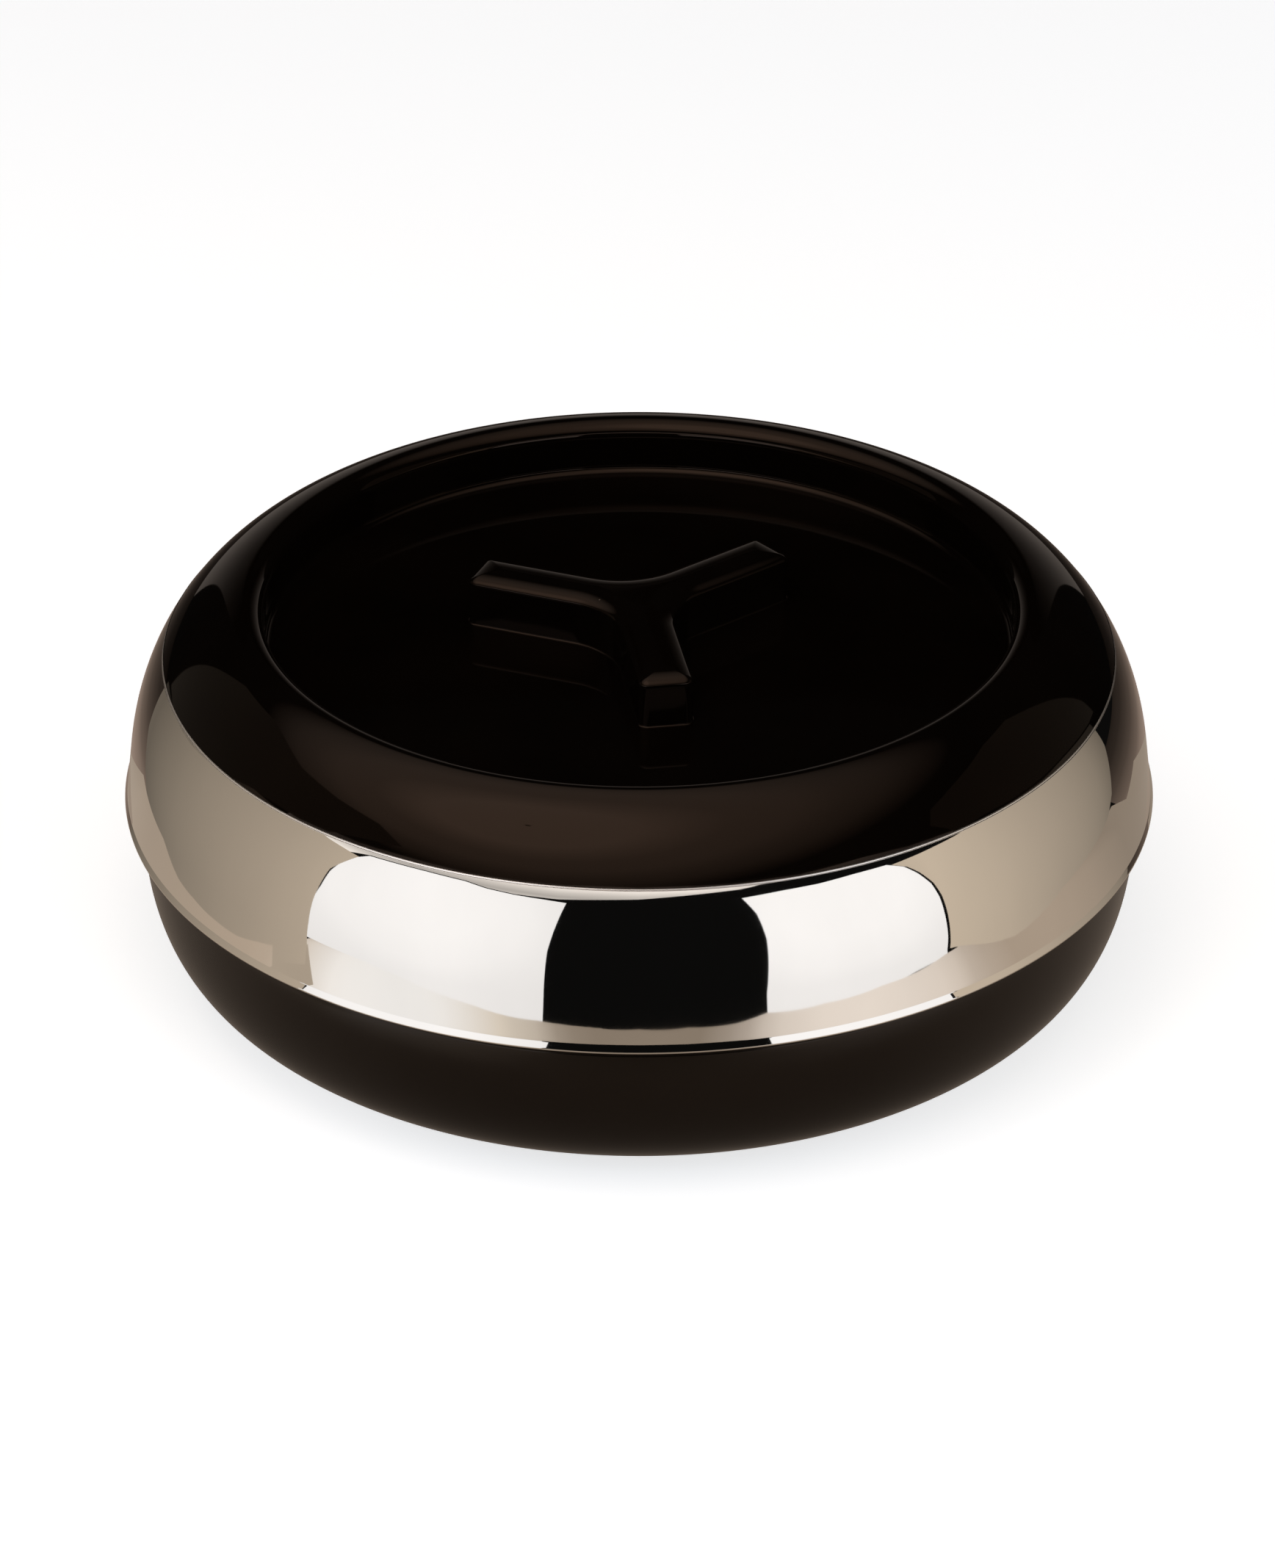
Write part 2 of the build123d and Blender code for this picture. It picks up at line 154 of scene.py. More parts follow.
def turned(name: str, outline: list[Point], steps: int, crease: float = 14.0) -> Piece:
    """Spin a closed outline of radii and heights round the axis, into a smooth solid.

    Args:
        name: Name of the piece.
        outline: The section's corners as (radius, height), in order round the section.
        steps: How many facets the turn has.
        crease: Edges that bend by more than this many degrees stay sharp.

    Returns:
        The finished piece, in object mode.
    """
    piece = drawn(name, tuple((radius, 0.0, height) for radius, height in outline), closed=True)
    select_whole()
    bpy.ops.mesh.spin(steps=steps, angle=2 * pi, center=(0, 0, 0), axis=(0, 0, 1))
    select_whole()
    bpy.ops.mesh.remove_doubles(threshold=WELDING)
    bpy.ops.mesh.normals_make_consistent(inside=False)
    mode("OBJECT")
    bpy.ops.object.shade_smooth_by_angle(angle=radians(crease))
    return piece


def evenly(first: float, last: float, steps: int) -> list[float]:
    """Evenly spaced values from one to another, both included."""
    return [first + (last - first) * index / steps for index in range(steps + 1)]


def oval(centre: Point, wide: float, high: float, start: float, end: float, steps: int) -> list[Point]:
    """Points on an ellipse, given by half its width and height, between two of its own angles."""
    turns = [radians(turn) for turn in evenly(start, end, steps)]
    return [(centre[0] + wide * cos(turn), centre[1] + high * sin(turn)) for turn in turns]


def arc(centre: Point, radius: float, start: float, end: float, steps: int) -> list[Point]:
    """Points on a circle, from one angle to another in so many chords."""
    return oval(centre, radius, radius, start, end, steps)


def corner_arc(before: Point, corner: Point, after: Point, radius: float, steps: int) -> list[Point]:
    """Round a corner between two straight stretches.

    Args:
        before: A point on the stretch that comes to the corner.
        corner: The corner.
        after: A point on the stretch that leaves it.
        radius: Radius of the rounding.
        steps: How many chords the rounding has.

    Returns:
        The rounding's points.
    """
    back = (Vector(before) - Vector(corner)).normalized()
    on = (Vector(after) - Vector(corner)).normalized()
    half = back.angle(on) / 2
    middle = Vector(corner) + (back + on).normalized() * (radius / sin(half))
    start = Vector(corner) + back * (radius / tan(half)) - middle
    turn = start.angle_signed(Vector(corner) + on * (radius / tan(half)) - middle)
    first = degrees(atan2(start.y, start.x))
    return arc((middle.x, middle.y), radius, first, first - degrees(turn), steps)


def stretch(start: Point, end: Point, steps: int) -> list[Point]:
    """Evenly spaced points from one point to another, both included."""
    return list(zip(evenly(start[0], end[0], steps), evenly(start[1], end[1], steps)))


def bezier(start: Point, first: Point, second: Point, end: Point, steps: int) -> list[Point]:
    """Points along a cubic curve.

    Args:
        start: First point.
        first: The point that the curve heads for as it leaves.
        second: The point that it comes from as it arrives.
        end: Last point.
        steps: How many chords it has.

    Returns:
        The points, with both ends.
    """
    points = []
    corners = (start, first, second, end)
    for on in evenly(0, 1, steps):
        back = 1 - on
        weights = (back**3, 3 * back**2 * on, 3 * back * on**2, on**3)
        points.append(tuple(sum(w * c[axis] for w, c in zip(weights, corners)) for axis in (0, 1)))
    return points


# Finishes


class Nodes:
    """A material's or world's node tree, with short ways to add and join its nodes."""

    def __init__(self, tree: bpy.types.NodeTree) -> None:
        """Start from an empty tree."""
        self.tree = tree
        tree.nodes.clear()

    def add(self, kind: str, feeds: dict | None = None, **settings: object) -> bpy.types.Node:
        """Add a node.

        Args:
            kind: The node's type name, without its first two words.
            feeds: What its inputs get, by name or number: a socket, a number, a vector or a colour.
            **settings: Properties of the node to set.

        Returns:
            The new node.
        """
        node = self.tree.nodes.new("ShaderNode" + kind)
        for name, value in settings.items():
            setattr(node, name, value)
        for name, value in (feeds or {}).items():
            socket = node.inputs[name]
            if isinstance(value, Socket):
                self.tree.links.new(value, socket)
            else:
                socket.default_value = (*value, 1) if socket.type == "RGBA" else value
        return node

    def out(self, kind: str, output: str, feeds: dict | None = None, **settings: object) -> Socket:
        """Add a node, and give one of its outputs."""
        return self.add(kind, feeds, **settings).outputs[output]

    def where(self) -> Socket:
        """The piece's own coordinates."""
        return self.out("TexCoord", "Object")

    def math(self, operation: str, *values: object) -> Socket:
        """The result of a step of arithmetic."""
        return self.out("Math", "Value", dict(enumerate(values)), operation=operation)

    def vector(self, operation: str, *values: object) -> Socket:
        """The result of a step of arithmetic with vectors."""
        node = self.add("VectorMath", dict(enumerate(values)), operation=operation)
        return node.outputs["Value" if operation == "LENGTH" else "Vector"]

    def noise(self, scale: float, detail: float = 2.0, stretched: Place = (1, 1, 1)) -> Socket:
        """Noise from 0 to 1 over the piece's own coordinates, which may be stretched."""
        place = self.out("Mapping", "Vector", {"Vector": self.where(), "Scale": stretched})
        return self.out("TexNoise", "Fac", {"Vector": place, "Scale": scale, "Detail": detail})

    def cells(self, feature: str, scale: float) -> bpy.types.NodeOutputs:
        """Cells over the piece's own coordinates, of one kind and so many to a metre."""
        return self.add("TexVoronoi", {"Vector": self.where(), "Scale": scale}, feature=feature).outputs

    def spread(self, value: Socket, low: float, high: float, run: Point = NOISE_RUN) -> Socket:
        """Map a run of values, a noise's if none is given, to the range from low to high."""
        feeds = {"Value": value, "From Min": run[0], "From Max": run[1], "To Min": low, "To Max": high}
        return self.out("MapRange", "Result", feeds)

    def ramp(self, value: Socket, stops: list[tuple[float, Colour]]) -> Socket:
        """A colour that runs through stops, each a value and its colour, as the value rises."""
        node = self.add("ValToRGB", {"Fac": value})
        elements = node.color_ramp.elements
        while len(elements) < len(stops):
            elements.new(0.5)
        for element, (position, colour) in zip(elements, stops):
            element.position = position
            element.color = (*colour, 1)
        return node.outputs["Color"]

    def mixed(self, kind: str, factor: Socket, one: Socket, other: object) -> Socket:
        """Two colours or numbers, mixed by a factor."""
        return self.out("Mix", "Result", {"Factor": factor, "A": one, "B": other}, data_type=kind)

    def relief(self, height: Socket, depth: float) -> Socket:
        """The normal of a bump that stands up by a depth in metres where the height is 1."""
        return self.out("Bump", "Normal", {"Height": height, "Distance": depth})

    def surface(self, **values: object) -> None:
        """Add the main shader, with constants or sockets by its inputs' names, and the output."""
        feeds = {name.replace("_", " "): value for name, value in values.items()}
        self.show(self.out("BsdfPrincipled", "BSDF", feeds))

    def show(self, shader: Socket, output: str = "OutputMaterial") -> None:
        """Join a shader to the tree's output."""
        self.add(output, {"Surface": shader})


def blank(name: str) -> tuple[bpy.types.Material, Nodes]:
    """A new material and its empty node tree."""
    material = bpy.data.materials.new(name)
    material.use_nodes = True
    return material, Nodes(material.node_tree)


@dataclass(frozen=True)
class Finish:
    """A finish: the look that one kind of material takes."""

    name: str
    colour: Colour
    roughness: float
    cloud_scale: float = 60.0
    grain_scale: float = 2500.0
    grain_depth: float = 0.00002

    def tinted(self, nodes: Nodes, cloud: Socket, dark: float, light: float) -> Socket:
        """The finish's colour, from dark to light times as bright as a noise rises."""
        shades = [tuple(min(1.0, channel * factor) for channel in self.colour) for factor in (dark, light)]
        return nodes.ramp(cloud, list(zip(NOISE_RUN, shades)))

    def rough(self, nodes: Nodes, cloud: Socket, low: float, high: float) -> Socket:
        """The finish's roughness, from low to high times its own as a noise rises."""
        return nodes.spread(cloud, self.roughness * low, self.roughness * high)

    def paint(self, nodes: Nodes) -> None:
        """Paint a colour and roughness that vary a little, and a fine relief."""
        cloud = nodes.noise(self.cloud_scale)
        nodes.surface(
            Base_Color=self.tinted(nodes, cloud, 0.85, 1.15),
            Roughness=self.rough(nodes, cloud, 0.9, 1.1),
            Normal=nodes.relief(nodes.noise(self.grain_scale, 3), self.grain_depth),
        )

    def material(self) -> bpy.types.Material:
        """Build the finish's material.

        Returns:
            The material.
        """
        material, nodes = blank(self.name)
        material.diffuse_color = (*self.colour, 1)
        self.paint(nodes)
        return material


@dataclass(frozen=True)
class GlossPlastic(Finish):
    """Hard black plastic from a polished mould, with faint ripples and a few specks of dust."""

    cloud_scale: float = 35.0
    ripple_scale: float = 160.0
    ripple: float = 0.000004
    speck_scale: float = 105.0
    speck_size: float = 0.028
    speck_core: float = 0.6
    bare_share: float = 0.9
    dust: Colour = (0.09, 0.08, 0.065)
    index: float = 1.33
    sheen: Colour = (1.0, 0.74, 0.6)

    def paint(self, nodes: Nodes) -> None:
        """Paint the glossy black, slightly brown, with faint ripples and dust."""
        cloud = nodes.noise(self.cloud_scale)
        cells = nodes.cells("F1", self.speck_scale)
        edge = (self.speck_size, self.speck_size * self.speck_core)
        speck = nodes.spread(cells["Distance"], 0, 1, edge)
        chance = nodes.out("SeparateColor", "Red", {"Color": cells["Color"]})
        dust = nodes.math("MULTIPLY", speck, nodes.math("GREATER_THAN", chance, self.bare_share))
        nodes.surface(
            Base_Color=nodes.mixed("RGBA", dust, self.tinted(nodes, cloud, 0.8, 1.2), self.dust),
            Roughness=self.rough(nodes, cloud, 0.8, 1.2),
            Normal=nodes.relief(nodes.noise(self.ripple_scale, 1), self.ripple),
            IOR=self.index,
            Specular_Tint=self.sheen,
        )


@dataclass(frozen=True)
class SatinPlastic(Finish):
    """Black plastic from a finely etched mould."""

    cloud_scale: float = 28.0
    rub_scale: float = 90.0
    grain_scale: float = 3200.0
    grain_depth: float = 0.000012
    index: float = 1.32
    sheen: Colour = (1.0, 0.80, 0.66)

    def paint(self, nodes: Nodes) -> None:
        """Paint the satin black, warm where it is lighter, with a fine etched grain."""
        nodes.surface(
            Base_Color=self.tinted(nodes, nodes.noise(self.cloud_scale, 3), 0.82, 1.18),
            Roughness=self.rough(nodes, nodes.noise(self.rub_scale), 0.93, 1.07),
            Normal=nodes.relief(nodes.noise(self.grain_scale), self.grain_depth),
            IOR=self.index,
            Specular_Tint=self.sheen,
        )


@dataclass(frozen=True)
class MirrorSteel(Finish):
    """Sheet steel polished to a mirror, with the slow waves and faint rubbed haze of pressed sheet."""

    haze_scale: float = 45.0
    haze_stretch: Place = (1, 1, 0.4)
    wave_scale: float = 22.0
    wave_stretch: Place = (1, 1, 0.6)
    wave: float = 0.00001
    # Above these heights the band is pale, rough and not metal: a painted highlight along its top edge.
    painted_highlight_heights: Point = (88.4, 88.5)
    painted_highlight_colour: Colour = (0.93, 0.91, 0.89)
    painted_highlight_roughness: float = 0.4

    def paint(self, nodes: Nodes) -> None:
        """Paint the polished steel, with a painted highlight along its upper edge: a pale, rougher line that
        is not metal.
        """
        # A painted highlight: the top of the band turns pale, rougher and not metal.
        height = nodes.out("SeparateXYZ", "Z", {"Vector": nodes.where()})
        painted_highlight = nodes.spread(height, 0, 1, (self.painted_highlight_heights[0] * MM, self.painted_highlight_heights[1] * MM))
        haze = nodes.noise(self.haze_scale, 4, self.haze_stretch)
        nodes.surface(
            Metallic=1.0,
            Base_Color=nodes.mixed("RGBA", painted_highlight, self.tinted(nodes, haze, 0.98, 1.02), self.painted_highlight_colour),
            Roughness=nodes.mixed("FLOAT", painted_highlight, self.rough(nodes, haze, 0.7, 1.4), self.painted_highlight_roughness),
            Normal=nodes.relief(nodes.noise(self.wave_scale, 1, self.wave_stretch), self.wave),
        )


@dataclass(frozen=True)
class SpunSteel(Finish):
    """Steel with the fine rings of a pressing that was polished while it turned."""

    cloud_scale: float = 30.0
    ring_scale: float = 900.0
    ring_depth: float = 0.000006

    def paint(self, nodes: Nodes) -> None:
        """Paint the steel, with rings about the middle of the casserole."""
        parts = nodes.add("SeparateXYZ", {"Vector": nodes.where()}).outputs
        flat = nodes.out("CombineXYZ", "Vector", {"X": parts["X"], "Y": parts["Y"]})
        reach = nodes.vector("LENGTH", flat)
        rings = nodes.out("CombineXYZ", "Vector", {"X": reach, "Z": parts["Z"]})
        lines = nodes.out("TexNoise", "Fac", {"Vector": rings, "Scale": self.ring_scale, "Detail": 3})
        nodes.surface(
            Metallic=1.0,
            Base_Color=self.tinted(nodes, nodes.noise(self.cloud_scale, 3), 0.94, 1.06),
            Roughness=self.rough(nodes, lines, 0.75, 1.3),
            Normal=nodes.relief(lines, self.ring_depth),
        )


@dataclass(frozen=True)
class PouredFoam(Finish):
    """Rigid foam with small closed cells under a cast skin."""

    cloud_scale: float = 70.0
    cell_scale: float = 900.0
    cell_depth: float = 0.0002

    def paint(self, nodes: Nodes) -> None:
        """Paint the foam: pale yellow, darker in its cells."""
        cells = nodes.cells("DISTANCE_TO_EDGE", self.cell_scale)
        nodes.surface(
            Base_Color=self.tinted(nodes, nodes.noise(self.cloud_scale, 4), 0.85, 1.1),
            Roughness=self.roughness,
            Normal=nodes.relief(cells["Distance"], self.cell_depth),
        )


class FinishOf(Enum):
    """The casserole's finishes, by the name that the record gives each one's slot."""

    gloss_black_plastic = GlossPlastic("gloss_black_plastic", (0.0022, 0.0014, 0.0009), 0.04)
    satin_black_plastic = SatinPlastic("satin_black_plastic", (0.0042, 0.003, 0.0022), 0.18)
    mirror_steel = MirrorSteel("mirror_steel", (0.68, 0.645, 0.60), 0.022)
    satin_steel = SpunSteel("satin_steel", (0.62, 0.61, 0.595), 0.2)
    fastener_steel = SpunSteel("fastener_steel", (0.55, 0.55, 0.54), 0.32, ring_scale=2600)
    pad_rubber = Finish("pad_rubber", (0.03, 0.03, 0.03), 0.75)
    seal_silicone = Finish("seal_silicone", (0.62, 0.62, 0.6), 0.42)
    insulation_foam = PouredFoam("insulation_foam", (0.78, 0.69, 0.45), 0.9)


@dataclass
class Finishes:
    """Builds each finish once and puts it on pieces and nodes."""

    made: dict[FinishOf, bpy.types.Material]

    def material(self, finish: FinishOf) -> bpy.types.Material:
        """The material of a finish, built the first time it is wanted."""
        if finish not in self.made:
            self.made[finish] = finish.value.material()
        return self.made[finish]

    def dress(self, piece: Piece, finish: FinishOf) -> None:
        """Give a piece or a node a finish and no other.

        Args:
            piece: The object to dress.
            finish: The finish that it takes.
        """
        if not piece.data.materials:
            piece.data.materials.append(None)
        for index in range(len(piece.data.materials)):
            piece.data.materials[index] = self.material(finish)
        log.info("%s wears %s", piece.name, finish.name)


# The outer wall, shared by the lid's shell and its steel band


@dataclass(frozen=True)
class Wall:
    """The lid's outer face: part of an ellipse with a straight flank below it."""

    belly_radius: float = 133.4
    belly_height: float = 54.1
    crest_radius: float = 97.3
    crest_height: float = 105.0
    flank_height: float = 62.7
    flank_steps: int = 12
    seam_height: float = 89.0

    def axes(self, inset: float = 0.0) -> Point:
        """Half the ellipse's width and half its height, moved in by inset."""
        return self.belly_radius - self.crest_radius - inset, self.crest_height - self.belly_height - inset

    def slope(self) -> float:
        """How much the flank widens for each millimetre down."""
        wide, high = self.axes()
        rise = (self.flank_height - self.belly_height) / high
        return wide / high * rise / sqrt(1 - rise**2)

    def radius(self, height: float, inset: float = 0.0) -> float:
        """Radius of the wall at a height.

        Args:
            height: Where to measure.
            inset: How far the copy of the wall is moved in.

        Returns:
            The radius.
        """
        wide, high = self.axes(inset)
        at = max(height, self.flank_height)
        radius = self.crest_radius + wide * sqrt(1 - ((at - self.belly_height) / high) ** 2)
        return radius + self.slope() * (at - height)

    def turn(self, height: float, inset: float = 0.0) -> float:
        """The ellipse's own angle at a height, in degrees."""
        return degrees(asin((height - self.belly_height) / self.axes(inset)[1]))

    def dome(self, top: float, bottom: float, inset: float, steps: int) -> list[Point]:
        """Points down the ellipse between two of its own angles, moved in by inset."""
        return oval((self.crest_radius, self.belly_height), *self.axes(inset), top, bottom, steps)

    def face(self, top: float, bottom: float, inset: float, steps: int) -> list[Point]:
        """Points down the wall from one height to another, round the dome and along the flank.

        Args:
            top: Height of the first point.
            bottom: Height of the last point, on the flank.
            inset: How far the copy of the wall is moved in.
            steps: How many chords the dome's part has.

        Returns:
            The points, with both ends.
        """
        upper = self.dome(self.turn(top, inset), self.turn(self.flank_height, inset), inset, steps)
        start = (self.radius(self.flank_height, inset), self.flank_height)
        flank = stretch(start, (self.radius(bottom, inset), bottom), self.flank_steps)
        return upper + flank[1:]


# The lid


@dataclass
class LidShell:
    """The glossy black moulding: rolled rim, sunk top and the skirt behind the steel band."""

    finishes: Finishes
    wall: Wall = Wall()
    wall_thickness: float = 2.9
    floor_thickness: float = 2.5
    well_depth: float = 15.0
    rim_rounding: float = 4.5
    well_corner_rounding: float = 2.0
    rim_start: float = 1.0
    floor_edge: float = 0.5
    band_rebate: float = 0.6
    seam_rounding: float = 0.15
    skirt_bottom: float = 49.2
    hole_radius: float = 6.0
    facets: int = 288

    def rim_turn(self) -> tuple[Point, float, float]:
        """Where the rim's rounding lies.

        Returns:
            Its middle, the angle at which it meets the dome, and the dome's own angle there.
        """
        crest, rounding = self.wall.crest_radius, self.rim_rounding
        across = crest + rounding
        wide, high = self.wall.axes()
        low, top = 0.0, 90.0
        for _ in range(60):
            turn = radians((low + top) / 2)
            slant = hypot(high * cos(turn), wide * sin(turn))
            if crest + wide * cos(turn) - rounding * high * cos(turn) / slant > across:
                low = degrees(turn)
            else:
                top = degrees(turn)
        height = self.wall.belly_height + high * sin(turn) - rounding * wide * sin(turn) / slant
        return (across, height), degrees(atan2(wide * sin(turn), high * cos(turn))), degrees(turn)

    def outline(self) -> list[Point]:
        """The section, from the middle of the well's floor round the rim and back underneath."""
        wall, well, rounding = self.wall, self.wall.crest_radius, self.well_corner_rounding
        well_floor = wall.crest_height - self.well_depth
        ceiling = well_floor - self.floor_thickness
        seam = wall.seam_height
        inset = self.band_rebate + self.wall_thickness
        behind = well + self.wall_thickness
        middle, meets, dome_turn = self.rim_turn()
        floor = stretch((self.hole_radius, well_floor), (well - rounding - self.floor_edge, well_floor), 6)
        corner = arc((well - rounding, well_floor + rounding), rounding, -90, 0, 10)
        rim = [(well, middle[1] - self.rim_start), *arc(middle, self.rim_rounding, 180, meets, 22)]
        dome = wall.dome(dome_turn, wall.turn(seam + self.seam_rounding), 0.0, 36)[1:]
        edge = (wall.radius(seam) - self.seam_rounding, seam + self.seam_rounding)
        seam_edge = arc(edge, self.seam_rounding, 5, -90, 5)
        rebate = wall.face(seam, self.skirt_bottom, self.band_rebate, 20)
        inner_turn = degrees(asin(sqrt(1 - ((behind - well) / wall.axes(inset)[0]) ** 2)))
        inner = wall.dome(wall.turn(wall.flank_height, inset), inner_turn, inset, 24)
        skirt = [(wall.radius(self.skirt_bottom, inset), self.skirt_bottom)]
        back = [(behind, ceiling), (self.hole_radius, ceiling)]
        return floor + corner + rim + dome + seam_edge + rebate + skirt + inner + back

    def build(self) -> Piece:
        """Model the moulding and let it stand for its node.

        Returns:
            The piece.
        """
        piece = turned("lid_moulding", self.outline(), self.facets)
        self.finishes.dress(piece, FinishOf.gloss_black_plastic)
        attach(piece, "lid")
        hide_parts("lid_shell")
        return piece


@dataclass
class SteelBand:
    """The mirror-polished band: its top edge at the seam, its foot flared and rolled in."""

    finishes: Finishes
    wall: Wall = Wall()
    thickness: float = 0.5
    seam_gap: float = 0.12
    bottom: float = 48.5
    lip_reach: float = 0.43
    lip_roll: float = 0.65
    flare: float = 26.0
    bend_reach: float = 0.8
    bend_ease: float = 4.0
    hem_reach: float = 4.16
    top_rounding: float = 0.4
    inside_foot: float = 1.2
    facets: int = 288

    def outline(self) -> list[Point]:
        """The section, down the outside, round the roll and back up the inside."""
        wall = self.wall
        top = wall.seam_height - self.seam_gap
        lip = wall.radius(self.bottom) + self.lip_reach
        middle = (lip - self.lip_roll, self.bottom + self.lip_roll)
        lean = radians(self.flare)
        foot_radius = middle[0] + self.lip_roll / cos(lean)
        rise = (foot_radius - wall.radius(middle[1])) / (tan(lean) - wall.slope())
        bend = (wall.radius(middle[1] + rise), middle[1] + rise)
        above = (wall.radius(bend[1] + self.bend_reach), bend[1] + self.bend_reach)
        foot = (middle[0] + self.lip_roll * cos(lean), middle[1] + self.lip_roll * sin(lean))
        half = (pi - lean + atan2(wall.slope(), 1)) / 2
        corner = corner_arc(above, bend, foot, self.bend_ease * self.bend_reach / tan(half), 5)
        rounding = self.top_rounding
        crest = arc((wall.radius(top) - rounding, top - rounding), rounding, 90, 8, 6)
        outside = wall.face(top - rounding, above[1], 0.0, 64)
        roll = arc(middle, self.lip_roll, self.flare, -90, 12)
        hem_edge = middle[0] - self.hem_reach
        hem = [(hem_edge, self.bottom), (hem_edge, self.bottom + self.thickness)]
        back = arc(middle, self.lip_roll - self.thickness, -90, self.flare, 4)
        inside = wall.face(top, middle[1] + self.inside_foot, self.thickness, 24)[::-1]
        return crest + outside + corner + roll + hem + back + inside

    def build(self) -> Piece:
        """Model the band and let it stand for its node.

        Returns:
            The piece.
        """
        piece = turned("polished_band", self.outline(), self.facets)
        self.finishes.dress(piece, FinishOf.mirror_steel)
        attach(piece, "lid")
        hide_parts("steel_band")
        return piece


@dataclass
class Handle:
    """The hollow three-armed handle that stands on the well's floor."""

    finishes: Finishes
    arm_reach: float = 45.5
    arm_width: float = 14.0
    arm_angles: tuple[float, ...] = (39.0, 159.0, 279.0)
    floor: float = 90.0
    height: float = 13.8
    wall: float = 2.4
    root_rounding: float = 20.0
    end_rounding: float = 2.5
    top_rounding: float = 2.3
    top_reach: float = 6.6
    foot_rounding: float = 0.5
    root_start: float = 21.0
    least_turn: float = 0.3
    hollow_gap: float = 0.3
    crown_start: float = 16.0
    edge_steps: Line = ((0.0, 1.2), (0.0, 0.55), (0.03, 0.38), (0.11, 0.21))
    last_step: Point = (0.05, 0.005)
    crease: float = 20.0

    def arm_side(self, angle: float, inset: float) -> list[Point]:
        """The outline round one arm's end, from one root to the next.

        Args:
            angle: Which way the arm points.
            inset: How far the outline is moved in.

        Returns:
            The points, anticlockwise, without the roots' roundings.
        """
        half = self.arm_width / 2 - inset
        turn = max(self.least_turn, self.end_rounding - inset)
        end = self.arm_reach - inset - turn
        local = stretch((self.root_start, -half), (end, -half), 3)[:-1]
        local += arc((end, -half + turn), turn, -90, 0, 8) + arc((end, half - turn), turn, 0, 90, 8)
        local += stretch((end, half), (self.root_start, half), 3)[1:]
        lean = radians(angle)
        return [(x * cos(lean) - y * sin(lean), x * sin(lean) + y * cos(lean)) for x, y in local]

    def root(self, angle: float, inset: float) -> list[Point]:
        """The rounding between two arms, whose middle direction is angle."""
        far = (self.arm_width / 2 + self.root_rounding) / sin(radians(60))
        lean = radians(angle)
        middle = (far * cos(lean), far * sin(lean))
        return arc(middle, self.root_rounding + inset, angle + 210, angle + 150, 14)

    def outline(self, inset: float) -> list[Point]:
        """The whole outline seen from above, anticlockwise, moved in by inset."""
        points = []
        for angle in self.arm_angles:
            points += self.arm_side(angle, inset) + self.root(angle + 60, inset)
        return points

    def rings(self) -> list[Point]:
        """How far in and how high each ring lies, from the hollow's ceiling out and round to the top.

        Returns:
            The rings' insets and heights, no two in a row at one height.
        """
        top = self.floor + self.height
        reach, small = self.top_reach, self.foot_rounding
        inside = [(self.wall, top - self.wall), (self.wall, self.floor + self.hollow_gap)]
        foot = arc((-small, self.floor + small), small, -90, 0, 5)
        crown = oval((reach, top - self.top_rounding), -reach, self.top_rounding, self.crown_start, 90, 12)
        corner = [(inset, crown[0][1] - drop) for inset, drop in self.edge_steps]
        last = (reach + self.last_step[0], top + self.last_step[1])
        return [*inside, *foot, *corner, *crown, last]

    def build(self) -> Piece:
        """Model the handle and let it stand for its node.

        Returns:
            The piece.
        """
        pieces = []
        for inset, height in self.rings():
            corners = tuple((x, y, height) for x, y in self.outline(inset))
            pieces.append(drawn("three_arm_handle", corners, closed=True))
            mode("OBJECT")
        piece = pieces[0]
        count = len(piece.data.vertices)
        self.fill(piece, 0)
        for index, ring in enumerate(pieces[1:]):
            bridge(piece, ring, index * count)
        self.fill(piece, (len(pieces) - 1) * count)
        mode("EDIT")
        select_whole()
        bpy.ops.mesh.normals_make_consistent(inside=False)
        mode("OBJECT")
        bpy.ops.object.shade_smooth_by_angle(angle=radians(self.crease))
        self.finishes.dress(piece, FinishOf.gloss_black_plastic)
        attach(piece, "lid")
        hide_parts("lid_handle")
        return piece

    def fill(self, piece: Piece, first: int) -> None:
        """Close the ring whose corners are numbered from first on with a flat face."""
        pick(piece, first)
        bpy.ops.mesh.edge_face_add()
        mode("OBJECT")


# The base


